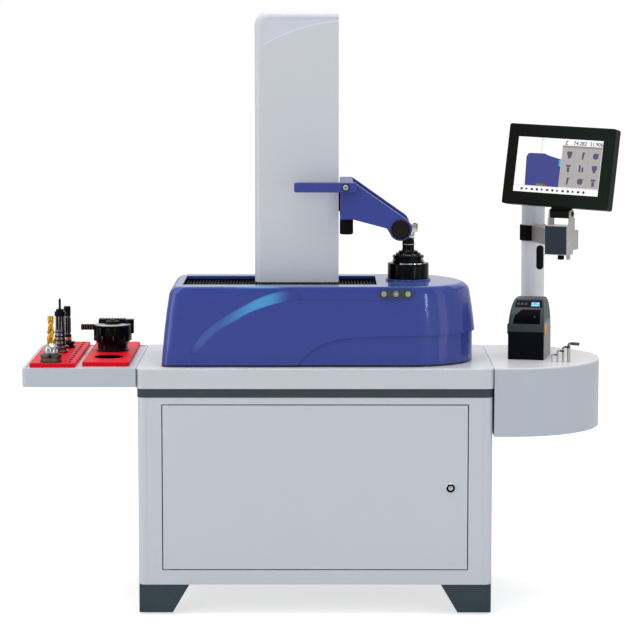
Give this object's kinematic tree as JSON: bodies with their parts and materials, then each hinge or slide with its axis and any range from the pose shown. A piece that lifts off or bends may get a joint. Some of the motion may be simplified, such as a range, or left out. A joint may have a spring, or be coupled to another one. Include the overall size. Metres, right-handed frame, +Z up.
{
  "type": "tool presetter",
  "caption": "Tool presetter on a cabinet: blue machine base with a sliding column, U-shaped optics carrier, spindle, tool tray, console with label printer and swivelling display.",
  "frame": {"origin": "middle of the footprint of the whole machine, on the floor", "axes": "+Z up, -Y faces the user, +X to the user's right along the cabinet"},
  "size_m": [1.678, 0.56, 1.688],
  "materials": {
    "cabinet_grey": "smooth satin light-grey coat",
    "table_grey": "smooth satin light-grey coat",
    "band_dark": "dark slate painted board edge",
    "foot_dark": "dark slate satin paint",
    "pad_rubber": "matte",
    "computer_dark": "fine matte paint",
    "bed_iron": "machined and painted grey iron",
    "rail_steel": "ground steel",
    "base_blue": "glossy deep blue moulding",
    "arm_blue": "deep blue satin coat on cast aluminium",
    "column_grey": "smooth satin light-grey coat",
    "bellows_black": "coated black fabric",
    "panel_dark": "satin",
    "button_grey": "satin",
    "button_green": "satin",
    "spindle_black": "black oxide",
    "optics_black": "black anodised",
    "screw_steel": "polished steel",
    "tool_dark": "black oxide steel",
    "tool_steel": "ground steel with dark and gold parts",
    "pole_grey": "satin light-grey coat",
    "bracket_grey": "satin warm-grey coat",
    "display_black": "fine-grained black",
    "display_glass": "lit screen behind glass",
    "printer_black": "fine-grained black",
    "roller_rubber": "matte",
    "insert_red": "smooth red moulding"
  },
  "bodies": {
    "frame": {"side_left": "cabinet_grey", "side_right": "cabinet_grey", "front_frame": "cabinet_grey", "back_panel": "cabinet_grey", "cabinet_floors": "cabinet_grey", "control_computer": "computer_dark", "feet": "foot_dark", "foot_pads": "pad_rubber", "spacer_board": "band_dark", "tabletop": "table_grey", "machine_bed": "bed_iron", "x_rails": "rail_steel", "base_cover": "base_blue", "button_panel": "panel_dark", "spindle_housing": "bed_iron", "bellows_left": "bellows_black", "bellows_right": "bellows_black", "console_shell": "table_grey", "console_top": "table_grey", "hex_keys": "screw_steel", "printer_body": "printer_black", "platen_roller": "roller_rubber", "display_pole": "pole_grey", "tool_tray": "table_grey", "tray_inserts": "insert_red", "collet_chuck": "tool_steel", "arbors": "tool_steel", "disc_cutter": "tool_dark"},
    "door": {"door": "cabinet_grey"},
    "lock": {"door_lock": "screw_steel", "lock_cam": "screw_steel"},
    "button_stop": {"button_stop": "button_grey"},
    "button_page": {"button_page": "button_grey"},
    "button_start": {"button_start": "button_green"},
    "column": {"saddle": "bed_iron", "saddle_blocks": "bed_iron", "column_beam": "bed_iron", "column_cover": "column_grey", "z_rails": "rail_steel", "column_bellows_low": "bellows_black", "column_bellows_high": "bellows_black"},
    "optics": {"z_blocks": "rail_steel", "carriage_plate": "optics_black", "arm_bridge": "arm_blue", "front_arm": "arm_blue", "rear_arm": "arm_blue", "lamp_housing": "optics_black", "camera_barrel": "optics_black", "pivot_screw": "screw_steel"},
    "handle": {"release_handle": "arm_blue"},
    "fine_knob": {"fine_knob": "optics_black"},
    "spindle": {"spindle_rotor": "spindle_black", "tool_holder": "tool_dark", "boring_head": "screw_steel"},
    "display_arm": {"pole_clamp": "bracket_grey"},
    "display_swivel": {"swivel_block": "bracket_grey", "hinge_bar": "optics_black"},
    "display": {"display_housing": "display_black", "display_screen": "display_glass"},
    "printer_lid": {"printer_lid": "printer_black"}
  },
  "joints": [
    {"name": "door_hinge", "type": "hinge", "parent": "frame", "child": "door", "pos_m": [-0.43508, -0.268, 0.358], "axis": [0, 0, -1], "range_deg": [0, 110]},
    {"name": "lock_turn", "type": "hinge", "parent": "door", "child": "lock", "pos_m": [0.35792, -0.276, 0.361], "axis": [0, -1, 0], "range_deg": [0, 90]},
    {"name": "button_stop_press", "type": "slide", "parent": "frame", "child": "button_stop", "axis": [0, 1, 0], "range_m": [0, 0.0015], "stiffness_N_per_m": 300, "springref_m": -0.003},
    {"name": "button_page_press", "type": "slide", "parent": "frame", "child": "button_page", "axis": [0, 1, 0], "range_m": [0, 0.0015], "stiffness_N_per_m": 300, "springref_m": -0.003},
    {"name": "button_start_press", "type": "slide", "parent": "frame", "child": "button_start", "axis": [0, 1, 0], "range_m": [0, 0.0015], "stiffness_N_per_m": 300, "springref_m": -0.003},
    {"name": "x_slide", "type": "slide", "parent": "frame", "child": "column", "axis": [1, 0, 0], "range_m": [-0.185, 0.055], "deforming": ["bellows_left", "bellows_right"]},
    {"name": "z_slide", "type": "slide", "parent": "column", "child": "optics", "axis": [0, 0, 1], "range_m": [-0.1, 0.32], "deforming": ["column_bellows_low", "column_bellows_high"]},
    {"name": "handle_release", "type": "hinge", "parent": "optics", "child": "handle", "pos_m": [0.06392, -0.206, 1.198], "axis": [0, 1, 0], "range_deg": [0, 6], "stiffness_Nm_per_rad": 2, "springref_deg": -8.59},
    {"name": "knob_turn", "type": "hinge", "parent": "optics", "child": "fine_knob", "pos_m": [0.06692, -0.138, 1.084], "axis": [0, 0, 1], "continuous": true},
    {"name": "spindle_turn", "type": "hinge", "parent": "frame", "child": "spindle", "pos_m": [0.24392, -0.06, 0.924], "axis": [0, 0, 1], "continuous": true},
    {"name": "display_swing", "type": "hinge", "parent": "frame", "child": "display_arm", "pos_m": [0.61992, 0.195, 1.041], "axis": [0, 0, 1], "range_deg": [-40, 45]},
    {"name": "display_swivel", "type": "hinge", "parent": "display_arm", "child": "display_swivel", "pos_m": [0.67831, -0.06828, 1.045], "axis": [0, 0, 1], "range_deg": [-40, 60]},
    {"name": "display_tilt", "type": "hinge", "parent": "display_swivel", "child": "display", "pos_m": [0.67831, -0.06828, 1.11531], "axis": [0.866, -0.5, 0], "range_deg": [-15, 20]},
    {"name": "lid_hinge", "type": "hinge", "parent": "frame", "child": "printer_lid", "pos_m": [0.61318, 0.07619, 0.7773], "axis": [-0.9781, 0.2079, 0], "range_deg": [0, 75]}
  ]
}
